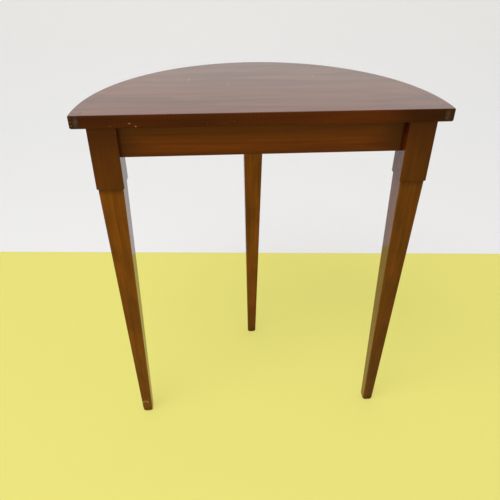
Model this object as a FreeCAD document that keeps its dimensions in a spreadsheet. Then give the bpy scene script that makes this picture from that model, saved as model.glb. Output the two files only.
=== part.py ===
import FreeCAD, Part
import os
import re

import Sketcher

# A half-round side table: three stepped, tapered legs, a D-shaped frame of rails and an edge-glued top.
# Millimetres. The origin is on the floor under the middle of the top, the flat side faces -Y and
# the round side faces +Y. Left and right are as seen from the flat side, so right is +X.

# Driving dimensions, one cell of the sheet each.
SIZES = {
    # Top
    "overall_height": 740.0,
    "top_radius": 318.0,
    "top_thickness": 22.5,
    "top_corner_round": 3.0,
    "top_upper_chamfer": 1.2,
    "top_lower_chamfer": 2.0,
    "lipping_width": 18.0,
    "back_board_width": 70.0,
    "front_board_width": 87.0,
    # Legs
    "leg_block": 48.0,
    "leg_block_length": 110.5,
    "leg_step": 2.2,
    "leg_foot": 21.0,
    "leg_arris": 1.0,
    "foot_chamfer": 1.5,
    "leg_end_overhang": 25.5,
    "leg_back_inset": 3.0,
    "front_leg_proud": 18.0,
    # Rails
    "rail_depth": 57.5,
    "rail_thickness": 20.0,
    "rail_arris": 1.0,
    "apron_reveal": 3.0,
    # Joints of the rails
    "tenon_thickness": 8.0,
    "tenon_length": 20.0,
    "tenon_shoulder": 8.0,
    "dowel_diameter": 8.0,
    "dowel_length": 32.0,
    "dowel_edge": 15.0,
    "joint_clearance": 0.1,
    "joint_end_room": 1.0,
    # Blocks
    "block_thickness": 25.0,
    "block_drop": 15.0,
    "front_block_width": 120.0,
    "glue_line": 0.2,
    # Screws
    "screw_diameter": 4.0,
    "screw_head_diameter": 8.0,
    "screw_head_height": 2.4,
    "screw_clearance": 0.15,
    "screw_cover": 8.0,
    "leg_screw_bite": 16.0,
    "corner_screw_edge": 10.0,
    "front_screw_inset": 20.0,
}

# Places and sizes that follow from the driving ones.
DERIVED = {
    # Flat edge and glue joints of the top
    "flat_edge": "-top_radius / 2",
    "lipping_inner": "top_radius - lipping_width",
    "board_radius": "lipping_inner - glue_line",
    "back_joint": "flat_edge + back_board_width",
    "front_joint": "flat_edge + lipping_inner - front_board_width",
    # Heights above the floor
    "underside": "overall_height - top_thickness",
    "shoulder": "underside - leg_block_length",
    "rail_bottom": "underside - rail_depth",
    "rail_middle": "underside - rail_depth / 2",
    "block_bottom": "rail_bottom + block_drop",
    "lower_dowel": "rail_bottom + dowel_edge",
    "upper_dowel": "underside - dowel_edge",
    # Rear legs and the straight rail between them
    "half_block": "leg_block / 2",
    "leg_outer": "top_radius - leg_end_overhang",
    "leg_axis_x": "leg_outer - half_block",
    "leg_inner": "leg_outer - leg_block",
    "leg_axis_y": "flat_edge + leg_back_inset + half_block",
    "leg_front": "leg_axis_y + half_block",
    "rail_back": "leg_axis_y - rail_thickness / 2",
    "rail_front": "leg_axis_y + rail_thickness / 2",
    # Curved aprons, round the middle of the flat edge
    "leg_reach": "leg_front - flat_edge",
    "apron_outer": "sqrt((leg_outer - apron_reveal)^2 + leg_reach^2)",
    "apron_inner": "apron_outer - rail_thickness",
    "apron_middle": "apron_outer - rail_thickness / 2",
    "rear_dowel_x": "sqrt(apron_middle^2 - (leg_reach + dowel_length / 4)^2)",
    "front_dowel_y": "flat_edge + sqrt(apron_middle^2 - (half_block + dowel_length / 4)^2)",
    # Front leg and the block behind it
    "front_leg_y": "flat_edge + apron_outer + front_leg_proud - half_block",
    "front_leg_back": "front_leg_y - half_block",
    "front_block_back": "front_leg_back - block_thickness",
    "block_radius": "apron_inner - glue_line",
    # Corner block: its free face is square to the diagonal through the leg's inner corner
    "free_face_x": "leg_inner - block_thickness / sqrt(2)",
    "free_face_y": "leg_front + block_thickness / sqrt(2)",
    "free_face_rail_x": "free_face_x - (free_face_y - rail_front)",
    "free_face_gap": "free_face_x - free_face_y + flat_edge",
    "free_face_apron_x": "(sqrt(2 * block_radius^2 - free_face_gap^2) + free_face_gap) / 2",
    # Screws
    "top_screw_length": "underside - block_bottom + top_thickness - screw_cover",
    "leg_screw_length": "block_thickness + leg_screw_bite",
    "corner_screw_x": "leg_inner - block_thickness",
    "corner_screw_y": "rail_front + corner_screw_edge",
    "front_screw_x": "front_block_width / 2 - front_screw_inset",
    "front_screw_y": "front_leg_back - block_thickness / 2",
}

MIRROR_PLANE = FreeCAD.Vector(1, 0, 0)
UP = FreeCAD.Vector(0, 0, 1)
TOLERANCE = 1e-4

doc = FreeCAD.newDocument("half_round_table")
sheet = doc.addObject("Spreadsheet::Sheet", "Sizes")


def fill_sheet():
    """Writes every size to the sheet, the driving ones as plain numbers."""
    texts = {name: str(number) for name, number in SIZES.items()}
    texts.update({name: "=" + formula for name, formula in DERIVED.items()})
    for row, (name, text) in enumerate(texts.items(), start=1):
        sheet.set("A%d" % row, name)
        sheet.set("B%d" % row, text)
        sheet.setAlias("B%d" % row, name)
    doc.recompute()


def linked(expression):
    """The expression with each word of the sheet named in full."""
    def full_name(match):
        word = match[0]
        return "Sizes." + word if word in SIZES or word in DERIVED else word
    return re.sub(r"[a-z_]+", full_name, expression)


def value(expression):
    """The number that an expression of the sheet's words stands for."""
    return float(sheet.evalExpression(linked(expression)))


def bind(item, **expressions):
    """Ties properties of an object to the sheet. Two underscores stand for a dot."""
    for path, expression in expressions.items():
        item.setExpression(path.replace("__", "."), linked(expression))


def place(item, x="0", y="0", z="0", rotation=FreeCAD.Rotation()):
    """Turns an object and ties its place to the sheet."""
    item.Placement = FreeCAD.Placement(FreeCAD.Vector(value(x), value(y), value(z)), rotation)
    bind(item, Placement__Base__x=x, Placement__Base__y=y, Placement__Base__z=z)


# Sketches

def new_body(name):
    body = doc.addObject("PartDesign::Body", name)
    body.AllowCompound = True
    return body


def origin_plane(body, role):
    return next(item for item in body.Origin.OriginFeatures if item.Role == role)


def new_sketch(body, name, role, offset="0"):
    """A sketch on one of the body's own planes, moved along the plane's normal."""
    sketch = body.newObject("Sketcher::SketchObject", name)
    sketch.AttachmentSupport = [(origin_plane(body, role), "")]
    sketch.MapMode = "FlatFace"
    bind(sketch, AttachmentOffset__Base__z=offset)
    return sketch


def constrain(sketch, kind, *places, size):
    """Adds a constraint whose value is tied to the sheet."""
    index = sketch.addConstraint(Sketcher.Constraint(kind, *places, value(size)))
    sketch.setExpression("Constraints[%d]" % index, linked(size))


def pin_down(sketch, geometry, end, x=None, y=None):
    """Holds one point of the sketch at a distance from the sketch's origin."""
    if x is not None:
        constrain(sketch, "DistanceX", -1, 1, geometry, end, size=x)
    if y is not None:
        constrain(sketch, "DistanceY", -1, 1, geometry, end, size=y)


def outline(sketch, corners, arcs=None):
    """A closed outline of corners (x, y, held), straight from each corner to the next.

    held names the coordinates that fix the corner. arcs gives the radius of the sides, by number,
    that run round the middle of the table's flat edge instead.
    """
    arcs = arcs or {}
    points = [FreeCAD.Vector(value(x), value(y), 0) for x, y, held in corners]
    centre = FreeCAD.Vector(0, value("flat_edge"), 0)
    starts = {}
    ends = {}
    for side, point in enumerate(points):
        following = points[(side + 1) % len(points)]
        if side not in arcs:
            sketch.addGeometry(Part.LineSegment(point, following))
            starts[side], ends[side] = 1, 2
            continue
        circle = Part.Circle(centre, UP, value(arcs[side]))
        angles = [circle.parameter(point), circle.parameter(following)]
        sketch.addGeometry(Part.ArcOfCircle(circle, min(angles), max(angles)))
        starts[side], ends[side] = (1, 2) if angles[0] < angles[1] else (2, 1)
    for side, (x, y, held) in enumerate(corners):
        before = side - 1 if side else len(corners) - 1
        sketch.addConstraint(Sketcher.Constraint("Coincident", before, ends[before], side, starts[side]))
        pin_down(sketch, side, starts[side], x if "x" in held else None, y if "y" in held else None)
    for side, radius in arcs.items():
        pin_down(sketch, side, 3, "0", "flat_edge")
        constrain(sketch, "Radius", side, size=radius)


def rectangle(sketch, left, right, low, high):
    outline(sketch, [(left, low, "xy"), (right, low, "xy"), (right, high, "xy"), (left, high, "xy")])


def square(sketch, side):
    half = "(%s) / 2" % side
    rectangle(sketch, "-" + half, half, "-" + half, half)


def dowel_circles(sketch, across, diameter):
    """The two circles of a dowel joint, one above the other."""
    for number, height in enumerate(("lower_dowel", "upper_dowel")):
        centre = FreeCAD.Vector(value(across), value(height), 0)
        sketch.addGeometry(Part.Circle(centre, UP, value(diameter) / 2))
        pin_down(sketch, number, 3, across, height)
        constrain(sketch, "Diameter", number, size=diameter)


def tenon_section(sketch, across, room="0"):
    """The section of the straight rail's tenon. room makes it the mortise's."""
    half = "(tenon_thickness / 2 + %s)" % room
    rectangle(sketch, "%s - %s" % (across, half), "%s + %s" % (across, half),
              "rail_bottom + tenon_shoulder - " + room, "underside - tenon_shoulder + " + room)


# Features

def pad(body, name, sketch, length):
    feature = body.newObject("PartDesign::Pad", name)
    feature.Profile = sketch
    bind(feature, Length=length)
    doc.recompute()
    return feature


def mirror(body, name, feature):
    """Repeats a feature on the other side of the table."""
    copy = body.newObject("PartDesign::Mirrored", name)
    copy.Originals = [feature]
    copy.MirrorPlane = (origin_plane(body, "YZ_Plane"), [""])
    body.Tip = copy
    doc.recompute()
    return copy


def dress(body, kind, name, size, wanted):
    """Rounds or chamfers the edges of the body's last feature that pass the test wanted."""
    base = body.Tip
    edges = ["Edge%d" % number for number, edge in enumerate(base.Shape.Edges, start=1) if wanted(edge)]
    feature = body.newObject("PartDesign::" + kind, name)
    feature.Base = (base, edges)
    bind(feature, **{"Radius" if kind == "Fillet" else "Size": size})
    doc.recompute()
    return feature


def sink(body, name, sketch, depth, reverse):
    """Cuts a sketch into the body and makes sure that all of the cut lies in the wood."""
    before = body.Shape.Volume
    feature = body.newObject("PartDesign::Pocket", name)
    feature.Profile = sketch
    feature.Reversed = reverse
    bind(feature, Length=depth)
    doc.recompute()
    wanted = Part.Face(sketch.Shape.Wires, "Part::FaceMakerBullseye").Area * value(depth)
    if abs(before - body.Shape.Volume - wanted) > wanted * TOLERANCE:
        raise RuntimeError(name + " isn't cut to its full depth")
    return feature


def dowel_holes(body, name, role, face, across, reverse):
    """Drills a pair of dowel holes into a face of the body."""
    sketch = new_sketch(body, name + "_centres", role, face)
    dowel_circles(sketch, across, "dowel_diameter + 2 * joint_clearance")
    return sink(body, name, sketch, "dowel_length / 2 + joint_end_room", reverse)


def at_height(height):
    """A test for edges that lie level at one height."""
    level = value(height)
    return lambda edge: all(abs(vertex.Z - level) < TOLERANCE for vertex in edge.Vertexes)


def rising(edge):
    """A test for edges that climb."""
    heights = [vertex.Z for vertex in edge.Vertexes]
    return max(heights) - min(heights) > TOLERANCE


def on_flat_edge(edge):
    """A test for edges of the table's flat side."""
    flat = value("flat_edge")
    return all(abs(vertex.Y - flat) < TOLERANCE for vertex in edge.Vertexes)


def on_glue_face(edge):
    """A test for the edges of the lipping's inner face, which meets the boards."""
    inner = value("lipping_inner")
    return isinstance(edge.Curve, Part.Circle) and abs(edge.Curve.Radius - inner) < TOLERANCE


# Cutting, grouping and mirroring whole pieces

def cut(name, base, tool):
    piece = doc.addObject("Part::Cut", name)
    piece.Base = base
    piece.Tool = tool
    doc.recompute()
    return piece


def group(name, members):
    piece = doc.addObject("Part::Compound", name)
    piece.Links = members
    doc.recompute()
    return piece


def left_of(name, right):
    """The left-hand twin of a right-hand piece."""
    piece = doc.addObject("Part::Mirroring", name)
    piece.Source = right
    piece.Normal = MIRROR_PLANE
    doc.recompute()
    return piece


# Legs

def leg_blank(name):
    """A square block over a small step all round and a long taper to the foot, about its own axis."""
    body = new_body(name)
    taper = body.newObject("PartDesign::AdditiveWedge", name + "_taper")
    taper.AttachmentSupport = [(origin_plane(body, "XZ_Plane"), "")]
    taper.MapMode = "FlatFace"
    half_foot = "leg_foot / 2"
    half_neck = "half_block - leg_step"
    bind(taper, Ymin="0", Xmin="-" + half_foot, Xmax=half_foot, Zmin="-" + half_foot, Zmax=half_foot)
    bind(taper, Ymax="shoulder", X2min="-(%s)" % half_neck, X2max=half_neck,
         Z2min="-(%s)" % half_neck, Z2max=half_neck)
    doc.recompute()
    block = new_sketch(body, name + "_block_outline", "XY_Plane", "shoulder")
    square(block, "leg_block")
    pad(body, name + "_block", block, "leg_block_length")
    dress(body, "Chamfer", name + "_foot_edge", "foot_chamfer", at_height("0"))
    short = value("leg_foot")
    dress(body, "Fillet", name + "_arrises", "leg_arris", lambda edge: rising(edge) and edge.Length > short)
    return body


def rear_leg():
    body = leg_blank("rear_leg_blank")
    mouth = new_sketch(body, "mortise_outline", "YZ_Plane", "-half_block")
    tenon_section(mouth, "0", room="joint_clearance")
    sink(body, "mortise", mouth, "tenon_length + joint_end_room", reverse=True)
    across = "rear_dowel_x - leg_axis_x"
    dowel_holes(body, "apron_holes", "XZ_Plane", "-half_block", across, reverse=True)
    place(body, "leg_axis_x", "leg_axis_y")
    return body


def front_leg():
    body = leg_blank("front_leg_blank")
    across = "front_dowel_y - front_leg_y"
    right = dowel_holes(body, "side_holes", "YZ_Plane", "half_block", across, reverse=False)
    mirror(body, "side_holes_left", right)
    place(body, y="front_leg_y")
    return body


# Rails

def rear_rail():
    body = new_body("rear_rail")
    section = new_sketch(body, "rail_outline", "XY_Plane", "rail_bottom")
    rectangle(section, "-leg_inner", "leg_inner", "rail_back", "rail_front")
    pad(body, "rail_blank", section, "rail_depth")
    lower = at_height("rail_bottom")
    long_way = value("leg_inner")
    dress(body, "Fillet", "rail_arrises", "rail_arris", lambda edge: lower(edge) and edge.Length > long_way)
    end = new_sketch(body, "tenon_outline", "YZ_Plane", "leg_inner")
    tenon_section(end, "leg_axis_y")
    mirror(body, "tenon_left", pad(body, "tenon_right", end, "tenon_length"))
    return body


def curved_apron():
    """The right-hand quarter of the round side, from the rear leg's front to the front leg's side."""
    body = new_body("curved_apron_right")
    section = new_sketch(body, "apron_outline", "XY_Plane", "rail_bottom")
    rear_outer = "sqrt(apron_outer^2 - leg_reach^2)"
    rear_inner = "sqrt(apron_inner^2 - leg_reach^2)"
    front_outer = "flat_edge + sqrt(apron_outer^2 - half_block^2)"
    front_inner = "flat_edge + sqrt(apron_inner^2 - half_block^2)"
    corners = [
        (rear_inner, "leg_front", "y"),
        (rear_outer, "leg_front", "y"),
        ("half_block", front_outer, "x"),
        ("half_block", front_inner, "x"),
    ]
    outline(section, corners, arcs={1: "apron_outer", 3: "apron_inner"})
    pad(body, "apron_blank", section, "rail_depth")
    lower = at_height("rail_bottom")
    long_way = value("2 * rail_thickness")
    dress(body, "Chamfer", "apron_arrises", "rail_arris",
          lambda edge: lower(edge) and edge.Length > long_way)
    dowel_holes(body, "apron_rear_holes", "XZ_Plane", "-leg_front", "rear_dowel_x", reverse=False)
    dowel_holes(body, "apron_front_holes", "YZ_Plane", "half_block", "front_dowel_y", reverse=True)
    return body


# Dowels

def dowels(name, role, face, across):
    """A pair of dowels, half their length on each side of a face, and their twins on the left."""
    pair = new_body(name + "_right")
    sketch = new_sketch(pair, name + "_centres", role, face + " - dowel_length / 2")
    dowel_circles(sketch, across, "dowel_diameter")
    pad(pair, name + "_pair", sketch, "dowel_length")
    return group(name, [pair, left_of(name + "_left", pair)])


# Blocks

def corner_block():
    """Fills the corner of the straight rail, the rear leg and the apron behind a diagonal free face."""
    body = new_body("corner_block_blank")
    section = new_sketch(body, "corner_outline", "XY_Plane", "block_bottom")
    arc_start = "sqrt(block_radius^2 - leg_reach^2)"
    free_end_y = "free_face_apron_x - free_face_x + free_face_y"
    corners = [
        ("free_face_rail_x", "rail_front", "xy"),
        ("leg_inner", "rail_front", "xy"),
        ("leg_inner", "leg_front", "xy"),
        (arc_start, "leg_front", "y"),
        ("free_face_apron_x", free_end_y, "x"),
    ]
    outline(section, corners, arcs={3: "block_radius"})
    pad(body, "corner_solid", section, "underside - block_bottom")
    return body


def front_block():
    """Bridges both aprons behind the front leg, notched for the part of the leg that stands proud."""
    body = new_body("front_block_blank")
    section = new_sketch(body, "front_block_outline", "XY_Plane", "block_bottom")
    half_width = "front_block_width / 2"
    corners = [
        ("0", "front_block_back", "xy"),
        (half_width, "front_block_back", "xy"),
        (half_width, "flat_edge + sqrt(block_radius^2 - (front_block_width / 2)^2)", "x"),
        ("half_block", "flat_edge + sqrt(block_radius^2 - half_block^2)", "x"),
        ("half_block", "front_leg_back", "xy"),
        ("0", "front_leg_back", "xy"),
    ]
    outline(section, corners, arcs={2: "block_radius"})
    half = pad(body, "front_block_half", section, "underside - block_bottom")
    mirror(body, "front_block_whole", half)
    return body


# Screws

def screw_form(name, length):
    """A flat-headed screw that points up from the face that its head sits on."""
    body = new_body(name)
    profile = new_sketch(body, name + "_profile", "XZ_Plane")
    head = "screw_head_diameter / 2"
    shank = "screw_diameter / 2"
    corners = [
        ("0", "-screw_head_height", "xy"),
        (head, "-screw_head_height", "xy"),
        (head, "0", "xy"),
        (shank, "0", "xy"),
        (shank, length, "xy"),
        ("0", length, "xy"),
    ]
    outline(profile, corners)
    turned = body.newObject("PartDesign::Revolution", name + "_turned")
    turned.Profile = profile
    turned.ReferenceAxis = (profile, ["V_Axis"])
    doc.recompute()
    return body


def screw_and_hole(name, length, **seat):
    """A screw and the hole that takes it, at the same place."""
    screw = screw_form(name, length)
    hole = doc.addObject("Part::Cylinder", name + "_hole")
    bind(hole, Radius="screw_diameter / 2 + screw_clearance", Height=length + " + screw_clearance")
    for item in (screw, hole):
        place(item, **seat)
    return screw, hole


# Top

def ease_edges(body, name, wanted):
    """Chamfers those upper and lower edges of a piece of the top that pass the test wanted."""
    for height, size in (("overall_height", "top_upper_chamfer"), ("underside", "top_lower_chamfer")):
        level = at_height(height)
        dress(body, "Chamfer", name + "_" + size, size, lambda edge: level(edge) and wanted(edge))


def lipping():
    """The curved strip round the boards. Its two ends are flush with the flat edge."""
    name = "top_lipping"
    body = new_body(name)
    section = new_sketch(body, name + "_outline", "XY_Plane", "underside")
    corners = [
        ("lipping_inner", "flat_edge", "y"),
        ("top_radius", "flat_edge", "y"),
        ("-top_radius", "flat_edge", "y"),
        ("-lipping_inner", "flat_edge", "y"),
    ]
    outline(section, corners, arcs={1: "top_radius", 3: "lipping_inner"})
    pad(body, name + "_strip", section, "top_thickness")
    middle = value("top_radius - lipping_width / 2")
    dress(body, "Fillet", name + "_corners", "top_corner_round",
          lambda edge: rising(edge) and abs(edge.CenterOfMass.x) > middle)
    ease_edges(body, name, lambda edge: not on_glue_face(edge))
    return body


def top_board(name, holes, near, far=None):
    """The stretch of the top inside the lipping, between two glue joints or from a joint to its end.

    The flat edge is eased, and the pilot holes that fall in the board are bored.
    """
    body = new_body(name + "_blank")
    section = new_sketch(body, name + "_outline", "XY_Plane", "underside")
    half_chord = "sqrt(board_radius^2 - (%s - flat_edge)^2)"
    near_half = half_chord % near
    corners = [("-" + near_half, near, "y"), (near_half, near, "y")]
    round_sides = {1: "board_radius"}
    if far:
        far_half = half_chord % far
        corners += [(far_half, far, "y"), ("-" + far_half, far, "y")]
        round_sides[3] = "board_radius"
    outline(section, corners, arcs=round_sides)
    pad(body, name + "_slab", section, "top_thickness")
    if near == "flat_edge":
        ease_edges(body, name, on_flat_edge)
    return cut(name, body, holes)


def build():
    """Makes every sub-part and returns them by the name of their file."""
    fill_sheet()
    to_round_side = FreeCAD.Rotation(UP, FreeCAD.Vector(0, 1, 0))
    to_leg = FreeCAD.Rotation(UP, FreeCAD.Vector(1, -1, 0))

    corner_screw, corner_hole = screw_and_hole(
        "corner_screw", "top_screw_length", x="corner_screw_x", y="corner_screw_y", z="block_bottom")
    front_screw, front_hole = screw_and_hole(
        "front_screw", "top_screw_length", x="front_screw_x", y="front_screw_y", z="block_bottom")
    rear_leg_screw, rear_leg_hole = screw_and_hole(
        "rear_leg_screw", "leg_screw_length", x="free_face_x", y="free_face_y", z="rail_middle",
        rotation=to_leg)
    front_leg_screw, front_leg_hole = screw_and_hole(
        "front_leg_screw", "leg_screw_length", y="front_block_back", z="rail_middle",
        rotation=to_round_side)
    front_holes = group("front_holes", [front_hole, left_of("front_hole_left", front_hole)])
    corner_holes = group("corner_holes", [corner_hole, left_of("corner_hole_left", corner_hole)])
    top_holes = group("top_holes", [front_holes, corner_holes])

    pieces = [
        lipping(),
        top_board("top_board_back", top_holes, "flat_edge", "back_joint"),
        top_board("top_board_middle", top_holes, "back_joint", "front_joint"),
        top_board("top_board_front", top_holes, "front_joint"),
        rear_rail(),
    ]

    leg = cut("rear_leg_right", rear_leg(), rear_leg_hole)
    apron = curved_apron()
    block = cut("corner_block_right", corner_block(),
                group("corner_block_holes", [corner_hole, rear_leg_hole]))
    for right in (leg, apron, block):
        pieces += [right, left_of(right.Label.replace("right", "left"), right)]

    pieces.append(cut("front_leg", front_leg(), front_leg_hole))
    pieces.append(cut("front_block", front_block(),
                      group("front_block_holes", [front_holes, front_leg_hole])))
    pieces.append(dowels("apron_rear_dowels", "XZ_Plane", "-leg_front", "rear_dowel_x"))
    pieces.append(dowels("apron_front_dowels", "YZ_Plane", "half_block", "front_dowel_y"))
    pieces.append(group("top_screws", [
        corner_screw, left_of("corner_screw_left", corner_screw),
        front_screw, left_of("front_screw_left", front_screw)]))
    pieces.append(group("leg_screws", [
        rear_leg_screw, left_of("rear_leg_screw_left", rear_leg_screw), front_leg_screw]))
    return {piece.Label: piece for piece in pieces}


def check(pieces):
    """Stops on any failed object and on any sub-part that isn't sound."""
    doc.recompute()
    failed = [item.Name for item in doc.Objects if {"Invalid", "Error"} & set(item.State)]
    unsound = [name for name, piece in pieces.items()
               if piece.Shape.isNull() or not piece.Shape.isValid() or not piece.Shape.Solids]
    if failed or unsound:
        raise RuntimeError("failed: %s, unsound: %s" % (failed, unsound))


def main():
    pieces = build()
    check(pieces)
    os.makedirs("parts", exist_ok=True)
    for name, piece in pieces.items():
        piece.Shape.exportStep("parts/%s.step" % name)
        print("%-20s %2d solids %12.1f mm3" % (name, len(piece.Shape.Solids), piece.Shape.Volume))


main()
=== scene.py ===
import math

import bmesh
import bpy
from mathutils import Matrix, Vector


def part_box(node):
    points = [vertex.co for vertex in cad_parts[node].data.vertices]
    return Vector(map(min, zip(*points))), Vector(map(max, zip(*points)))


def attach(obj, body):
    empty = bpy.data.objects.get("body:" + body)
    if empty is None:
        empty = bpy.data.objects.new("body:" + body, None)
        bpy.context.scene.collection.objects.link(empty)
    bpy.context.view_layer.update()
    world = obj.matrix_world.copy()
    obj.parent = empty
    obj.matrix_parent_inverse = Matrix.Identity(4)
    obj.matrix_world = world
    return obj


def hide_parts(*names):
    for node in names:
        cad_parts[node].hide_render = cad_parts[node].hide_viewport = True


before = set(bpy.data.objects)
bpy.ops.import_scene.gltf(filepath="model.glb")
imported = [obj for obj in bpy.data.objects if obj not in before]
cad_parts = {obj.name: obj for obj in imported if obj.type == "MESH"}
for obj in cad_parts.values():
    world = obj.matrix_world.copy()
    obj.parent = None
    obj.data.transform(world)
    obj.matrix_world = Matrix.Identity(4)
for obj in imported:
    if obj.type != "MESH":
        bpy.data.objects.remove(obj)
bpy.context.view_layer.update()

bl_info = {
    "name": "Half-round table",
    "version": (1, 0, 0),
    "blender": (4, 5, 0),
    "location": "3D View > Sidebar > Table",
    "description": "Finishes and wears a half-round side table, makes its screws and sets its stage",
    "category": "Object",
}

# Metres. The flat side of the table faces -Y, and left and right are as seen from there.
MILLIMETRE = 0.001
SIDES = (-1.0, 1.0)
FLAT_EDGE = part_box("top_board_back")[0].y
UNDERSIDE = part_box("top_board_back")[0].z
TABLE_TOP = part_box("top_board_back")[1].z
RIM_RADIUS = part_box("top_lipping")[1].x
JOINT_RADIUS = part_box("top_board_back")[1].x
RAIL_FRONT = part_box("rear_rail")[1].y
RAIL_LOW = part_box("rear_rail")[0].z
RAIL_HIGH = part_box("rear_rail")[1].z
RAIL_MIDDLE = (RAIL_LOW + RAIL_HIGH) / 2.0
RAIL_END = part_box("rear_leg_right")[0].x
LEG_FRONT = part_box("rear_leg_right")[1].y
BLOCK_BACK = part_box("front_block")[0].y
BLOCK_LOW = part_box("front_block")[0].z
# A leg's step below its block, and half its width just below the step and at the foot.
LEG_STEP = 0.607
SHAFT_HALF = 0.0218
FOOT_HALF = 0.0105

BOARDS = {
    "back_board": "top_board_back",
    "middle_board": "top_board_middle",
    "front_board": "top_board_front",
}
LEGS = {"left_leg": "rear_leg_left", "right_leg": "rear_leg_right", "middle_leg": "front_leg"}
APRONS = ("curved_apron_left", "curved_apron_right")
BLOCKS = ("corner_block_left", "corner_block_right", "front_block")
DOWELS = ("apron_rear_dowels", "apron_front_dowels")

# Points closer than this are one point, in a copied or cut shape and in a screw.
MERGE = 0.01 * MILLIMETRE
FINE_MERGE = 0.001 * MILLIMETRE
# How many steps a spun shape has.
SPIN_STEPS = 24
# The finishes of a piece of the top, in the order of its material slots.
ABOVE, BELOW, EDGE, RIM = range(4)
# How far the normal points down, back or up on faces of the lower side, the flat edge and the upper side,
# and how far the flat edge's chamfers reach in.
POINTS_DOWN = -0.9
POINTS_BACK = -0.6
POINTS_UP = 0.5
EDGE_BAND = 2.0 * MILLIMETRE

# How much painted shade lies on each leg's block, from 0 to 1, and how much right below the top, where the
# top shades it.
BLOCK_SHADE = {"left_leg": 0.66, "right_leg": 0.5, "middle_leg": 0.15}
UNDER_TOP_SHADE = 1.1
# How far below the step that fades out.
BLOCK_FADE = 16.0 * MILLIMETRE
# How light each leg's stain is at the foot and at the step: painted light and shade, for how the light falls
# on each leg.
LEG_LIGHTING = {"left_leg": (0.84, 0.95), "right_leg": (0.86, 0.77), "middle_leg": (0.83, 1.22)}
# How dark a soiled tip is, up to which share of its height, and how far the corners are lightened: partly
# rubbed-off finish, partly a painted highlight along them.
TIP_TONE = 0.55
TIP_SHARE = 0.1
RUBBED_AND_HIGHLIGHT = 0.3
# Side, reach and depth of the painted shade at both ends of the straight rail, where the legs shade it.
RAIL_END_SHADE = ((-1.0, 0.07, 0.75), (1.0, 0.095, 1.0))
# The straight rail is lightest at the first height above its lower side. Painted shade darkens it up to the
# second height, below the top, and down to the lower side, as far as said here.
RAIL_BAND = (14.0 * MILLIMETRE, 46.0 * MILLIMETRE)
HIGH_SHADE = 0.6
LOW_SHADE = 0.7
# How far above an apron's lower side the painted shade below the top starts, and how dark it gets.
APRON_BAND = 22.0 * MILLIMETRE
APRON_SHADE = 0.75

# How often each layer of a wood's figure comes round in a metre: along the grain, across it and through it.
DRIFT = (0.5, 9.0, 9.0)
BANDS = (1.2, 38.0, 38.0)
STREAKS = (4.0, 220.0, 220.0)
FIBRES = (12.0, 900.0, 900.0)
PORES = (55.0, 1500.0, 1500.0)
# The same for patches and marks, along X, Y and Z.
MOTTLE = (4.5, 38.0, 38.0)
CLOUDS = (28.0, 28.0, 12.0)
SPLINTERS = (500.0, 900.0, 900.0)
SPECKLE = (400.0, 400.0, 400.0)
PLANER_PATCHES = (9.0, 1.0, 60.0)
RUBBED_PATCHES = (60.0, 60.0, 9.0)
SAW_WANDER = (12.0, 12.0, 90.0)
SCUFF_WANDER = (160.0, 160.0, 160.0)
# The stretches of a noise's values over which patches, figure, pores, the top's mottle and wear change.
PATCH_RANGE = (0.3, 0.7)
FIGURE_RANGE = (0.35, 0.65)
PORE_RANGE = (0.62, 0.75)
MOTTLE_RANGE = (0.4, 0.62)
RUBBED_RANGE = (0.3, 0.6)
RAGGED_RANGE = (0.3, 0.5)
# How much the mottle shows, and how dark unfinished wood's dark figure is, as a share of the light one.
MOTTLE_STRENGTH = 0.85
RAW_DARK = 0.7
# How far one seed moves a wood's figure, and the seeds. Boards, legs, aprons and blocks count up from theirs.
SEED_STEP = (1.37, 0.73, 0.51)
SEEDS = {
    "boards": 86, "lipping": 2, "flat_edge": 4, "lipping_ends": 5, "dents": 6,
    "legs": 7, "rail": 24, "aprons": 12, "blocks": 15,
}
# How much darker a pore is, and the depths of pores under lacquer, of open pores and of both tools' marks.
PORE_SHADE = 0.35
FILLED_PORES = 0.05 * MILLIMETRE
OPEN_PORES = 0.1 * MILLIMETRE
PLANER_DEPTH = 0.03 * MILLIMETRE
SAW_DEPTH = 0.05 * MILLIMETRE
# How much the saw's marks darken the wood, and how far they sway, in radians of their wave.
SAW_SHADE = 0.06
SAW_SWAY = 3.0

# Dents along the flat edge: distance from its middle, height above the underside and width, in millimetres.
# Chips go through the finish, and nicks only into it.
EDGE_CHIPS = ((-221, 8.5, 5.0), (-211.5, 3.5, 5.0))
EDGE_NICKS = (
    (-252, 4.5, 4.0), (-95, 5.5, 3.0), (-75, 6.5, 2.6), (-67, 6.5, 3.4), (-61, 7.5, 2.6), (-52, 8, 3.8),
    (-33, 6, 2.6), (-22, 5, 3.0), (33, 2, 2.4), (42, 1.5, 2.8), (153, 4, 2.0), (208, 6, 1.8),
)
CORNER_CHIPS = ((-313.5, 18.5, 2.2), (-314, 12.5, 2.8), (-313.6, 6.5, 3.2))
# A dent's height as a share of its width, and by how much each is turned against the one before, in radians.
DENT_HEIGHT = 0.6
DENT_TURN = 2.4
# Pale specks on the top: across and along from its middle, and width, in millimetres.
# Their shape, by which distances count, makes them longer than wide. The strength is how pale they are.
SPECKS = ((-130, 33, 9.0), (-56, 0, 8.0), (112, 47, 9.0))
SPECK_SHAPE = (1.0, 0.4, 1.0)
SPECK_STRENGTH = 0.2
# Where the flat edge is rubbed light, and where it is soiled.
RUBBED_FROM = (-0.16, 0.14)
RUBBED_TO = (0.26, 0.18)
SOILED = (0.2, 0.268)
# The flat edge's tones: its figure's dark and light, its lower and upper sides, where it is soiled,
# and how much lighter it is where it is rubbed.
EDGE_FIGURE = (0.7, 1.3)
EDGE_TONES = (1.13, 0.88)
SOILED_TONE = 0.62
RUBBED_LIGHT = 0.55
# The part of the planer's wave that shows as a mark, the tone between marks and how much lighter a mark is.
CREST = (0.2, 1.0)
PLANER_TONE = 0.92
PLANER_LIGHT = 0.45
# How far the dull end grain fades in above the underside and below the top.
END_FADES = (8.0 * MILLIMETRE, 9.0 * MILLIMETRE)
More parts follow.
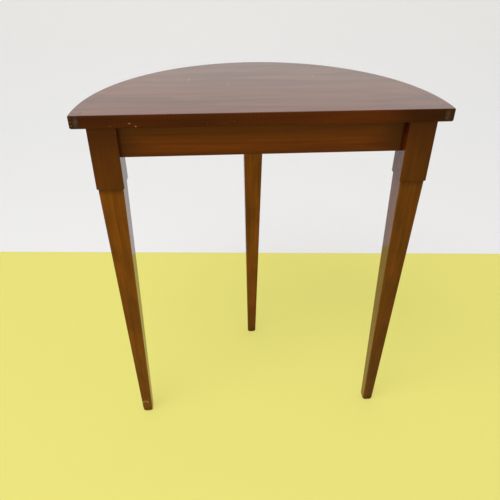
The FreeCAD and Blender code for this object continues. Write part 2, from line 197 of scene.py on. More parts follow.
# Across the lipping's ends, as shares of its width: where the dull grain is whole, starts to fade and ends.
END_SHARES = (0.3, 0.35, 0.7)
# How dull it is, how dark the stain round it is, and how rough both are.
END_DULLNESS = 0.85
END_STAIN = 0.5
END_ROUGHNESS = (0.5, 0.8)
# A chip on the left foot, in millimetres: its place from the middle of the foot, and its three widths.
FOOT_CHIP = ((-10.4, -10.4, 11.0), (3.2, 5.0, 7.0))
# The bow of the scuff above it, in millimetres: its middle, across and up from the foot, and its radius.
SCUFF = (-3.5, 30.0, 6.0)
# How far the bow wanders, and the distances from it at which the scuff begins and is whole.
BOW_WANDER = 6.0 * MILLIMETRE
BOW_LINE = (2.0 * MILLIMETRE, 0.8 * MILLIMETRE)
# The shape that a foot is trimmed to: height and half width of both its ends,
# and how many faces go round its corners.
MOULD_ENDS = ((-0.1 * MILLIMETRE, FOOT_HALF), (0.8, 0.15))
ROUND_CUTS = 6

# The blocks' thickness, and how far the screws into the top are from the rail and from the table's middle.
BLOCK_THICKNESS = 0.025
CORNER_SCREW_EDGE = 0.01
FRONT_SCREW_OFFSET = 0.04
TOP_SCREW_PLACES = (
    (RAIL_END - BLOCK_THICKNESS, RAIL_FRONT + CORNER_SCREW_EDGE),
    (FRONT_SCREW_OFFSET, BLOCK_BACK + BLOCK_THICKNESS / 2.0),
)
# How far a corner block's slanting face lies from the leg's corner, along X and along Y.
SLANT = BLOCK_THICKNESS / math.sqrt(2.0)
# Where the heads seat, and the way each screw goes in.
TOP_SCREW_SEATS = [
    (Vector((side * x, y, BLOCK_LOW)), Vector((0.0, 0.0, 1.0)))
    for x, y in TOP_SCREW_PLACES
    for side in SIDES
]
LEG_SCREW_SEATS = [
    (
        Vector((side * (RAIL_END - SLANT), LEG_FRONT + SLANT, RAIL_MIDDLE)),
        Vector((side, -1.0, 0.0)).normalized(),
    )
    for side in SIDES
]
LEG_SCREW_SEATS.append((Vector((0.0, BLOCK_BACK, RAIL_MIDDLE)), Vector((0.0, 1.0, 0.0))))

# A pan head's outline, from its middle to its seat, as shares of its radius and its height.
HEAD_OUTLINE = ((0.0, 1.0), (0.6, 0.96), (0.86, 0.72), (1.0, 0.3), (1.0, 0.0))
# The share of the height above which the crown lies, and how much of its arms' width the recess narrows by.
CROWN_SHARE = 0.5
RECESS_TAPER = 0.2

# How far the sweep lies above the floor, and the width of the camera's sensor in millimetres.
SWEEP_LIFT = 0.5 * MILLIMETRE
SENSOR_WIDTH = 36.0
# The share of the room's light that comes from low down, and how high up a direction has the whole of it.
LOW_LIGHT = 0.2
FULL_LIGHT = 0.8


class Recipe:
    """A material or a world that is being mixed from nodes."""

    def __init__(self, owner):
        owner.use_nodes = True
        self.owner = owner
        self.tree = owner.node_tree
        self.tree.nodes.clear()

    def add(self, kind, inputs=None, **settings):
        """Adds a node. An input is linked where it is given a socket, and is set otherwise."""
        node = self.tree.nodes.new("ShaderNode" + kind)
        for name, setting in settings.items():
            setattr(node, name, setting)
        for name, source in (inputs or {}).items():
            if isinstance(source, bpy.types.NodeSocket):
                self.tree.links.new(source, node.inputs[name])
            else:
                node.inputs[name].default_value = source
        return node

    def math(self, operation, first, second=0.0, third=0.0):
        inputs = {0: first, 1: second, 2: third}
        return self.add("Math", inputs, operation=operation).outputs[0]

    def total(self, *parts):
        """Adds up values, each with its own weight."""
        result = 0.0
        for value, weight in parts:
            result = self.math("MULTIPLY_ADD", value, weight, result)
        return result

    def product(self, first, *others):
        for other in others:
            first = self.math("MULTIPLY", first, other)
        return first

    def vector(self, operation, first, second):
        return self.add("VectorMath", {0: first, 1: second}, operation=operation).outputs[0]

    def mix(self, amount, first, second, blend="MIX"):
        inputs = {"Factor": amount, 6: first, 7: second}
        return self.add("Mix", inputs, data_type="RGBA", blend_type=blend).outputs[2]

    def dim(self, colour, amount):
        """Multiplies a colour by a value."""
        grey = self.add("CombineColor", {0: amount, 1: amount, 2: amount}).outputs[0]
        return self.mix(1.0, colour, grey, "MULTIPLY")

    def spread(self, value, low, high, new_low=0.0, new_high=1.0, way="SMOOTHSTEP"):
        """Maps low to high on new_low to new_high, with soft ends unless way is LINEAR, and stops there."""
        inputs = {"Value": value, "From Min": low, "From Max": high, "To Min": new_low, "To Max": new_high}
        return self.add("MapRange", inputs, interpolation_type=way).outputs[0]

    def noise(self, place, scale, detail=2.0, roughness=0.5, distortion=0.0):
        """Noise from 0 to 1. scale gives how many blotches to the metre along, across and through."""
        inputs = {"Vector": self.vector("MULTIPLY", place, scale), "Scale": 1.0, "Detail": detail,
                  "Roughness": roughness, "Distortion": distortion}
        return self.add("TexNoise", inputs).outputs["Fac"]

    def patches(self, place, scale, least, most):
        """Noise as soft patches between two values."""
        return self.spread(self.noise(place, scale), *PATCH_RANGE, least, most)

    def split(self, vector):
        return self.add("SeparateXYZ", {0: vector}).outputs

    def join(self, along, across, through):
        return self.add("CombineXYZ", {0: along, 1: across, 2: through}).outputs[0]

    def bump(self, height, depth, strength=1.0):
        return self.add("Bump", {"Height": height, "Distance": depth, "Strength": strength}).outputs[0]

    def finish(self, **inputs):
        """Ends the recipe with the surface shader."""
        sockets = {name.replace("_", " "): source for name, source in inputs.items()}
        shader = self.add("BsdfPrincipled", sockets)
        self.add("OutputMaterial", {"Surface": shader.outputs[0]})
        return self.owner

    def seen(self):
        """1 for what the camera, a mirror or glass shows, and 0 for what only gives light."""
        rays = self.add("LightPath").outputs
        direct = self.math("MAXIMUM", rays["Is Camera Ray"], rays["Is Glossy Ray"])
        return self.math("MAXIMUM", direct, rays["Is Transmission Ray"])


def new_recipe(name):
    return Recipe(bpy.data.materials.new(name))


def opaque(colour):
    return (*colour, 1.0)


class Wood(Recipe):
    """A wood: where a point of it lies along and across the grain, and the light and dark of its figure."""

    def __init__(self, name, seed, axis=None):
        super().__init__(bpy.data.materials.new(name))
        coordinates = self.add("TexCoord")
        self.place = coordinates.outputs["Object"]
        self.normal = coordinates.outputs["Normal"]
        shift = tuple(seed * step for step in SEED_STEP)
        self.broad = self.vector("ADD", self.straight_grain(axis or "X"), shift)
        self.fine = self.broad if axis else self.vector("ADD", self.bent_grain(), shift)

    def straight_grain(self, axis):
        """The place as distances along, across and through boards that run along one axis."""
        x, y, z = self.split(self.place)
        orders = {"X": (x, y, z), "Y": (y, x, z), "Z": (z, x, y)}
        return self.join(*orders[axis])

    def bent_grain(self):
        """The same for a strip that is bent round the middle of the flat edge."""
        x, y, z = self.split(self.place)
        depth = self.math("SUBTRACT", y, FLAT_EDGE)
        angle = self.math("ARCTAN2", depth, x)
        radius = self.math("SQRT", self.math("MULTIPLY_ADD", x, x, self.product(depth, depth)))
        return self.join(self.math("MULTIPLY", angle, RIM_RADIUS), radius, z)

    def figure(self):
        """The wood's light and dark, from 0 to 1."""
        drift = self.noise(self.broad, DRIFT)
        bands = self.noise(self.broad, BANDS, detail=3.0, distortion=0.4)
        streaks = self.noise(self.fine, STREAKS, detail=3.0, roughness=0.6)
        fibres = self.noise(self.fine, FIBRES)
        tone = self.total((drift, 0.24), (bands, 0.32), (streaks, 0.26), (fibres, 0.18))
        return self.spread(tone, *FIGURE_RANGE)

    def pores(self):
        """1 in a pore and 0 between them."""
        return self.spread(self.noise(self.fine, PORES, detail=1.0), *PORE_RANGE)

    def stained(self, dark, light, pores):
        """The stain's colour over the figure, darker in the pores."""
        colour = self.mix(self.figure(), opaque(dark), opaque(light))
        return self.dim(colour, self.math("MULTIPLY_ADD", pores, -PORE_SHADE, 1.0))

    def facing(self, axis, least=0.8, most=0.95):
        """1 where the surface faces along an axis, such as -Y, and 0 elsewhere."""
        part = self.split(self.normal)["XYZ".index(axis[-1])]
        sign = -1.0 if axis[0] == "-" else 1.0
        return self.spread(part, sign * least, sign * most)

    def lacquered(self, colour, pores, settings, gloss, ior):
        """Ends the recipe with satin lacquer that lets the pores show. gloss is that of the wood below it."""
        sunk = self.math("SUBTRACT", 1.0, pores)
        return self.finish(
            Base_Color=colour,
            Roughness=settings.wood_roughness,
            Specular_IOR_Level=gloss,
            Normal=self.bump(sunk, FILLED_PORES, strength=0.3),
            Coat_Weight=settings.lacquer_weight,
            Coat_Roughness=settings.lacquer_roughness,
            Coat_IOR=ior,
        )


def bare_wood(name, colour):
    """Wood that shows where the finish is dented through."""
    wood = Wood(name, SEEDS["dents"], "X")
    colour = wood.dim(opaque(colour), wood.patches(wood.place, SPLINTERS, least=0.65, most=1.1))
    return wood.finish(Base_Color=colour, Roughness=0.85, Specular_IOR_Level=0.1)


def coat_node(name, material):
    """Gives a node of the frame its finish, in every material slot that it has."""
    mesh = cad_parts[name].data
    for index in range(len(mesh.materials)):
        mesh.materials[index] = material


def copied_shape(name):
    """A merged copy of a node's shape, to be dressed."""
    shape = bmesh.new()
    shape.from_mesh(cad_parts[name].data)
    bmesh.ops.remove_doubles(shape, verts=shape.verts, dist=MERGE)
    for face in shape.faces:
        face.material_index = 0
    return shape


def shade_smooth(shape, sharpest=math.radians(30.0)):
    """Smooths the shape's shading, apart from edges that turn more than sharpest."""
    for face in shape.faces:
        face.smooth = True
    for edge in shape.edges:
        edge.smooth = edge.calc_face_angle(math.pi) < sharpest


def object_of(name, shape, materials):
    """Turns a shape into an object at the origin."""
    mesh = bpy.data.meshes.new(name)
    shape.to_mesh(mesh)
    shape.free()
    for material in materials:
        mesh.materials.append(material)
    item = bpy.data.objects.new(name, mesh)
    bpy.context.scene.collection.objects.link(item)
    return item


def new_piece(name, shape, materials, node):
    """Makes a piece of the table that stands for a node of the frame."""
    item = object_of(name, shape, materials)
    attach(item, "root")
    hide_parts(node)
    return item


def carved(item, shape, operation):
    """Takes a shape out of a piece, or with INTERSECT all that is outside the shape."""
    cutter = object_of("cutter", shape, item.data.materials)
    cut = item.modifiers.new("cut", "BOOLEAN")
    cut.operation = operation
    cut.solver = "EXACT"
    cut.use_self = True
    cut.object = cutter
    cut_item = item.evaluated_get(bpy.context.evaluated_depsgraph_get())
    shape = bmesh.new()
    shape.from_mesh(cut_item.data)
    bmesh.ops.dissolve_degenerate(shape, edges=shape.edges, dist=MERGE)
    item.modifiers.clear()
    shape.to_mesh(item.data)
    shape.free()
    bpy.data.meshes.remove(cutter.data)


def dented(item, dents, material):
    """Cuts dents that show a material into a piece. Each is a place and three widths."""
    item.data.materials.append(material)
    inside = len(item.data.materials) - 1
    shape = bmesh.new()
    for index, (place, widths) in enumerate(dents):
        turn = Matrix.Rotation(DENT_TURN * index, 4, Vector((1.0, 1.0, 1.0)))
        matrix = Matrix.Translation(place) @ Matrix.Diagonal((*widths, 1.0)) @ turn
        bmesh.ops.create_icosphere(shape, subdivisions=1, radius=0.5, matrix=matrix)
    for face in shape.faces:
        face.material_index = inside
    carved(item, shape, "DIFFERENCE")


def edge_dents(rows, wear):
    """Dents in the flat edge, from their distance along it, height and width in millimetres."""
    dents = []
    for x, height, width in rows:
        place = Vector((x * MILLIMETRE, FLAT_EDGE, UNDERSIDE + height * MILLIMETRE))
        wide = width * MILLIMETRE
        dents.append((place, (wide, wear.dent_depth * 2.0, wide * DENT_HEIGHT)))
    return dents


class TableFinish(bpy.types.PropertyGroup):
    """Colours and gloss of the table."""
    top_dark: bpy.props.FloatVectorProperty(
        name="Top, dark", description="Darkest stain on the top", subtype="COLOR", size=3,
        min=0.0, max=1.0, default=(0.066, 0.005, 0.001))
    top_light: bpy.props.FloatVectorProperty(
        name="Top, light", description="Lightest stain on the top", subtype="COLOR", size=3,
        min=0.0, max=1.0, default=(0.158, 0.022, 0.004))
    # Paler, greyer patches on the top: partly the wood's own colour, partly painted sheen in soft bands.
    top_pale_and_sheen: bpy.props.FloatVectorProperty(
        name="Top, pale", description="Paler, greyer patches in the wood of the top", subtype="COLOR", size=3,
        min=0.0, max=1.0, default=(0.162, 0.043, 0.016))
    leg_dark: bpy.props.FloatVectorProperty(
        name="Legs, dark", description="Darkest stain on the legs", subtype="COLOR", size=3,
        min=0.0, max=1.0, default=(0.12, 0.026, 0.0005))
    leg_light: bpy.props.FloatVectorProperty(
        name="Legs, light", description="Lightest stain on the legs", subtype="COLOR", size=3,
        min=0.0, max=1.0, default=(0.27, 0.075, 0.002))
    rail_dark: bpy.props.FloatVectorProperty(
        name="Rails, dark", description="Darkest stain on the rails", subtype="COLOR", size=3,
        min=0.0, max=1.0, default=(0.108, 0.0165, 0.0005))
    rail_light: bpy.props.FloatVectorProperty(
        name="Rails, light", description="Lightest stain on the rails", subtype="COLOR", size=3,
        min=0.0, max=1.0, default=(0.262, 0.055, 0.001))
    # Painted shade: the colour of the shade below the top and beside the legs, used on legs, rail and aprons.
    painted_shade: bpy.props.FloatVectorProperty(
        name="Aged finish", description="Finish that has darkened below the top", subtype="COLOR", size=3,
        min=0.0, max=1.0, default=(0.069, 0.0085, 0.0002))
    edge_stain: bpy.props.FloatVectorProperty(
        name="Flat edge", description="Stain on the planed flat edge", subtype="COLOR", size=3,
        min=0.0, max=1.0, default=(0.08, 0.0165, 0.001))
    end_grain: bpy.props.FloatVectorProperty(
        name="End grain", description="Dull end grain at both ends of the flat edge", subtype="COLOR", size=3,
        min=0.0, max=1.0, default=(0.095, 0.046, 0.034))
    underside: bpy.props.FloatVectorProperty(
        name="Underside", description="Unfinished wood below the top", subtype="COLOR", size=3,
        min=0.0, max=1.0, default=(0.26, 0.13, 0.065))
    nicked: bpy.props.FloatVectorProperty(
        name="Nicks", description="Lighter stain in the nicks of the flat edge", subtype="COLOR", size=3,
        min=0.0, max=1.0, default=(0.17, 0.065, 0.024))
    chipped: bpy.props.FloatVectorProperty(
        name="Chips", description="Half-bare wood where the flat edge is dented", subtype="COLOR", size=3,
        min=0.0, max=1.0, default=(0.31, 0.17, 0.08))
    bare_wood: bpy.props.FloatVectorProperty(
        name="Bare wood", description="Wood where the finish is worn off", subtype="COLOR", size=3,
        min=0.0, max=1.0, default=(0.52, 0.33, 0.18))
    block_wood: bpy.props.FloatVectorProperty(
        name="Blocks", description="Sawn wood of the corner blocks", subtype="COLOR", size=3,
        min=0.0, max=1.0, default=(0.42, 0.27, 0.15))
    dowel_wood: bpy.props.FloatVectorProperty(
        name="Dowels", description="Turned wood of the dowels", subtype="COLOR", size=3,
        min=0.0, max=1.0, default=(0.6, 0.44, 0.27))
    screw_steel: bpy.props.FloatVectorProperty(
        name="Screws", description="Plated steel", subtype="COLOR", size=3,
        min=0.0, max=1.0, default=(0.62, 0.6, 0.56))
    wood_roughness: bpy.props.FloatProperty(
        name="Wood roughness", description="Roughness of the stained wood under the lacquer",
        subtype="FACTOR", min=0.0, max=1.0, default=0.42)
    top_gloss: bpy.props.FloatProperty(
        name="Top gloss", description="Gloss of the top's wood under its lacquer", subtype="FACTOR",
        min=0.0, max=1.0, default=0.46)
    lacquer_weight: bpy.props.FloatProperty(
        name="Lacquer", description="How much lacquer covers the wood", subtype="FACTOR",
        min=0.0, max=1.0, default=1.0)
    lacquer_roughness: bpy.props.FloatProperty(
        name="Lacquer roughness", description="Roughness of the lacquer", subtype="FACTOR",
        min=0.0, max=1.0, default=0.13)
    top_ior: bpy.props.FloatProperty(
        name="Top lacquer IOR", description="Index of refraction of the top's lacquer",
        min=1.0, max=2.5, default=1.44)
    frame_ior: bpy.props.FloatProperty(
        name="Frame lacquer IOR", description="Index of refraction of the thinner lacquer on legs and rails",
        min=1.0, max=2.5, default=1.31)


class TableWear(bpy.types.PropertyGroup):
    """Tool marks and wear, and how far the painted shade below the top reaches."""
    chatter: bpy.props.FloatProperty(
        name="Planer marks", description="Distance between the planer's marks on the flat edge",
        unit="LENGTH", min=0.001, max=0.02, default=0.0044)
    saw_marks: bpy.props.FloatProperty(
        name="Saw marks", description="Distance between the saw's marks on blocks and dowels",
        unit="LENGTH", min=0.0005, max=0.01, default=0.0017)
    dent_depth: bpy.props.FloatProperty(
        name="Dents", description="Depth of the dents in the flat edge", unit="LENGTH",
        min=0.0, max=0.003, default=0.0007)
    # The corners' lighter finish is partly rubbed wear, partly a painted highlight along them.
    arris: bpy.props.FloatProperty(
        name="Worn arris", description="How far the finish is rubbed thin beside the legs' corners",
        unit="LENGTH", min=0.0, max=0.01, default=0.002)
    # How far below the top the painted shade on the legs reaches.
    shade_reach: bpy.props.FloatProperty(
        name="Darkened finish", description="How far below the top the finish of the legs has darkened",
        unit="LENGTH", min=0.001, max=0.1, default=0.062)
    foot_round: bpy.props.FloatProperty(
        name="Foot rounding", description="Radius at which the feet's lower corners are worn round",
        unit="LENGTH", min=0.0005, max=0.008, default=0.006)
    tip: bpy.props.FloatProperty(
        name="Soiled tips", description="Height up to which the feet are soiled", unit="LENGTH",
        min=0.001, max=0.04, default=0.022)


class TableScrews(bpy.types.PropertyGroup):
    """Sizes of the screws."""
    head_width: bpy.props.FloatProperty(
        name="Head", description="Diameter of the pan head",
        unit="LENGTH", min=0.004, max=0.012, default=0.008)
    head_height: bpy.props.FloatProperty(
        name="Head height", description="Height of the pan head",
        unit="LENGTH", min=0.001, max=0.005, default=0.0024)
    shank_width: bpy.props.FloatProperty(
        name="Shank", description="Diameter of the shank",
        unit="LENGTH", min=0.002, max=0.006, default=0.004)
    point: bpy.props.FloatProperty(
        name="Point", description="Length of the point",
        unit="LENGTH", min=0.001, max=0.01, default=0.005)
    recess_width: bpy.props.FloatProperty(
        name="Recess", description="Width of the cross recess's arms", unit="LENGTH",
        min=0.0005, max=0.002, default=0.0011)
    recess_reach: bpy.props.FloatProperty(
        name="Recess reach", description="Length of the cross recess from end to end", unit="LENGTH",
        min=0.002, max=0.006, default=0.0044)
    recess_depth: bpy.props.FloatProperty(
        name="Recess depth", description="Depth of the cross recess", unit="LENGTH",
        min=0.0005, max=0.003, default=0.0013)
    top_length: bpy.props.FloatProperty(
        name="Top screws", description="Length of the screws into the top, below the head", unit="LENGTH",
        min=0.02, max=0.08, default=0.057)
    leg_length: bpy.props.FloatProperty(
        name="Leg screws", description="Length of the screws into the legs, below the head", unit="LENGTH",
        min=0.02, max=0.08, default=0.041)


class TableStage(bpy.types.PropertyGroup):
    """Camera, floor and lights."""
    camera_place: bpy.props.FloatVectorProperty(
        name="Camera", description="Where the camera stands", subtype="TRANSLATION", size=3, unit="LENGTH",
        default=(-0.08105, -0.97421, 1.02334))
    camera_turn: bpy.props.FloatVectorProperty(
        name="Turn", description="The camera's pitch down, yaw to the right and roll",
        subtype="EULER", size=3, unit="ROTATION", default=(0.59393, 0.06893, -0.00398))
    camera_lens: bpy.props.FloatProperty(
        name="Lens", description="Focal length in millimetres on a 36 mm sensor",
        min=10.0, max=200.0, default=37.149)
    sweep_start: bpy.props.FloatProperty(
        name="Sweep", description="Where the white sweep starts behind the middle of the table",
        unit="LENGTH", min=0.2, max=5.0, default=0.52)
    sweep_depth: bpy.props.FloatProperty(
        name="Sweep depth", description="How far the white sweep lies on the floor before it turns up",
        unit="LENGTH", min=0.2, max=5.0, default=0.9)
    sweep_bend: bpy.props.FloatProperty(
        name="Sweep bend", description="Radius at which the white sweep turns up", unit="LENGTH",
        min=0.05, max=2.0, default=0.4)
    sweep_height: bpy.props.FloatProperty(
        name="Sweep height", description="Height of the white sweep's upper edge", unit="LENGTH",
        min=1.0, max=10.0, default=2.6)
    stage_reach: bpy.props.FloatProperty(
        name="Stage", description="How far floor and sweep reach from the middle of the table", unit="LENGTH",
        min=2.0, max=100.0, default=20.0)
    floor_colour: bpy.props.FloatVectorProperty(
        name="Floor", description="Colour of the floor", subtype="COLOR", size=3, min=0.0, max=1.0,
        default=(0.87, 0.81, 0.22))
    sweep_colour: bpy.props.FloatVectorProperty(
        name="Sweep colour", description="Colour of the sweep", subtype="COLOR", size=3, min=0.0, max=1.0,
        default=(0.92, 0.916, 0.92))
    room_light: bpy.props.FloatProperty(
        name="Room light", description="Strength of the light from the ceiling of the room",
        min=0.0, max=2.0, default=0.8)
    shade: bpy.props.FloatProperty(
        name="Shade", description="How much of the light and shadow on them floor and sweep show",
        subtype="FACTOR", min=0.0, max=1.0, default=0.4)
    glow: bpy.props.FloatProperty(
        name="Glow", description="How bright floor and sweep look where no light falls on them",
        subtype="FACTOR", min=0.0, max=1.0, default=0.6)
    backdrop_light: bpy.props.FloatProperty(
        name="Backdrop", description="How bright the room beyond the floor looks, where 1 is white",
        min=0.0, max=1.0, default=0.82)
    softbox_place: bpy.props.FloatVectorProperty(
        name="Softbox", description="Where the softbox hangs", subtype="TRANSLATION", size=3, unit="LENGTH",
        default=(-0.7, -0.9, 2.5))
    softbox_target: bpy.props.FloatVectorProperty(
        name="Softbox target", description="The point that the softbox faces", subtype="TRANSLATION", size=3,
        unit="LENGTH", default=(0.0, 0.0, 0.5))
    softbox_size: bpy.props.FloatVectorProperty(
        name="Softbox size", description="Width and depth of the softbox", size=2, unit="LENGTH",
        min=0.1, max=5.0, default=(1.6, 1.2))
    softbox_power: bpy.props.FloatProperty(
        name="Softbox power", description="Power of the softbox", unit="POWER",
        min=0.0, max=1000.0, default=30.0)


class TABLE_OT_top(bpy.types.Operator):
    """Lacquers the boards and the lipping of the top, and dents its flat edge"""
    bl_idname = "table.top"
    bl_label = "Finish the top"

    def execute(self, context):
        settings = context.scene.table_finish
        wear = context.scene.table_wear
        chipped = bare_wood("chipped_edge", settings.chipped)
        nicked = bare_wood("nicked_edge", settings.nicked)
        planed = self.planed(settings, wear)
        for seed, (name, node) in enumerate(BOARDS.items(), start=SEEDS["boards"]):
            surfaces = self.surfaces(name, settings, seed, "X", planed)
            board = new_piece(name, self.sorted_shape(node), surfaces, node)
            if name == "back_board":
                dented(board, edge_dents(EDGE_CHIPS, wear), chipped)
                dented(board, edge_dents(EDGE_NICKS, wear), nicked)

        shape = self.sorted_shape("top_lipping")
        shade_smooth(shape)
        surfaces = self.surfaces("lipping", settings, SEEDS["lipping"], None, self.ends(settings))
        lipping = new_piece("curved_lipping", shape, surfaces, "top_lipping")
        dented(lipping, edge_dents(CORNER_CHIPS, wear), chipped)
        return {"FINISHED"}

    def sorted_shape(self, node):
        """A copy of a node, with each face's material: above, below, on the flat edge or round the rim."""
        shape = copied_shape(node)
        shape.normal_update()
        for face in shape.faces:
            at_back = face.calc_center_median().y < FLAT_EDGE + EDGE_BAND
            if face.normal.z < POINTS_DOWN:
                face.material_index = BELOW
            elif face.normal.y < POINTS_BACK and at_back:
                face.material_index = EDGE
            elif face.normal.z < POINTS_UP:
                face.material_index = RIM
            else:
                face.material_index = ABOVE
        return shape

    def surfaces(self, name, settings, seed, axis, edge):
        """The finishes of a piece of the top: above, below, on the flat edge and round the rim."""
        above = Wood("lacquered_" + name, seed, axis)
        pores = above.pores()
        colour = above.stained(settings.top_dark, settings.top_light, pores)
        # The mottle is partly the wood's colour, partly painted sheen in soft bands along the top.
        mottle = above.noise(above.place, MOTTLE, detail=4.0, distortion=0.5)
        mottle_and_sheen = above.spread(mottle, *MOTTLE_RANGE, 0.0, MOTTLE_STRENGTH)
        colour = above.mix(mottle_and_sheen, colour, opaque(settings.top_pale_and_sheen))
        colour = above.mix(self.specks(above), colour, opaque(settings.bare_wood))
        above.lacquered(colour, pores, settings, settings.top_gloss, settings.top_ior)

        below = Wood("raw_" + name, seed, axis)
        pores = below.pores()
        colour = below.stained(Vector(settings.underside) * RAW_DARK, settings.underside, pores)
        sunk = below.bump(below.math("SUBTRACT", 1.0, pores), OPEN_PORES)
        below.finish(Base_Color=colour, Roughness=0.75, Specular_IOR_Level=0.2, Normal=sunk)

        rim = Wood("lacquered_rim_of_" + name, seed, axis)
        pores = rim.pores()
        colour = rim.stained(settings.top_dark, settings.top_light, pores)
        rim.lacquered(colour, pores, settings, 0.0, settings.frame_ior)
        return [above.owner, below.owner, edge, rim.owner]

    def specks(self, wood):
        """How pale the specks on the top are."""
        pale = 0.0
        for across, along, width in SPECKS:
            middle = (across * MILLIMETRE, along * MILLIMETRE, TABLE_TOP)
            offset = wood.vector("MULTIPLY", wood.vector("SUBTRACT", wood.place, middle), SPECK_SHAPE)
            away = wood.add("VectorMath", {0: offset}, operation="LENGTH").outputs["Value"]
            speck = wood.spread(away, 0.5 * width * MILLIMETRE, 0.0, 0.0, SPECK_STRENGTH)
            pale = wood.math("MAXIMUM", speck, pale)
        return pale

    def planed(self, settings, wear):
        """The planed flat edge, with the planer's marks across it."""
        wood = Wood("planed_edge", SEEDS["flat_edge"], "X")
        pores = wood.pores()
        colour = wood.stained(*(Vector(settings.edge_stain) * tone for tone in EDGE_FIGURE), pores)
        x, y, z = wood.split(wood.place)
        wave = wood.math("SINE", wood.math("MULTIPLY", x, 2.0 * math.pi / wear.chatter))
        strong = wood.spread(wood.noise(wood.place, PLANER_PATCHES), *FIGURE_RANGE)
        marks = wood.product(wood.spread(wave, *CREST), strong)
        colour = wood.dim(colour, wood.math("MULTIPLY_ADD", marks, PLANER_LIGHT, PLANER_TONE))
        rubbed = wood.product(wood.spread(x, *RUBBED_FROM), wood.spread(x, *RUBBED_TO))
        light = wood.math("MULTIPLY_ADD", rubbed, RUBBED_LIGHT, 1.0)
        soiled = wood.spread(x, *SOILED, 1.0, SOILED_TONE)
        upper = wood.spread(z, UNDERSIDE, TABLE_TOP, *EDGE_TONES, "LINEAR")
        colour = wood.dim(colour, wood.product(light, soiled, upper))
        normal = wood.bump(wave, PLANER_DEPTH)
        return wood.finish(Base_Color=colour, Roughness=0.6, Specular_IOR_Level=0.12, Normal=normal)

    def ends(self, settings):
        """The lipping's two ends: dull end grain, stained darker towards the rim."""
        wood = Wood("end_grain", SEEDS["lipping_ends"], "Y")
        x, y, z = wood.split(wood.place)
        out = wood.math("ABSOLUTE", x)
        width = RIM_RADIUS - JOINT_RADIUS
        whole, fading, gone = (JOINT_RADIUS + share * width for share in END_SHARES)
        inner = wood.spread(out, JOINT_RADIUS, whole)
        outer = wood.spread(out, gone, fading)
        low = wood.spread(z, UNDERSIDE, UNDERSIDE + END_FADES[0])
        high = wood.spread(z, TABLE_TOP, TABLE_TOP - END_FADES[1])
        dull = wood.product(inner, outer, low, high, END_DULLNESS)
        grey = wood.dim(opaque(settings.end_grain), wood.patches(wood.place, SPECKLE, least=0.6, most=1.35))
        colour = wood.mix(dull, opaque(Vector(settings.edge_stain) * END_STAIN), grey)
        rough = wood.spread(dull, 0.0, 1.0, *END_ROUGHNESS)
        return wood.finish(Base_Color=colour, Roughness=rough, Specular_IOR_Level=0.2)


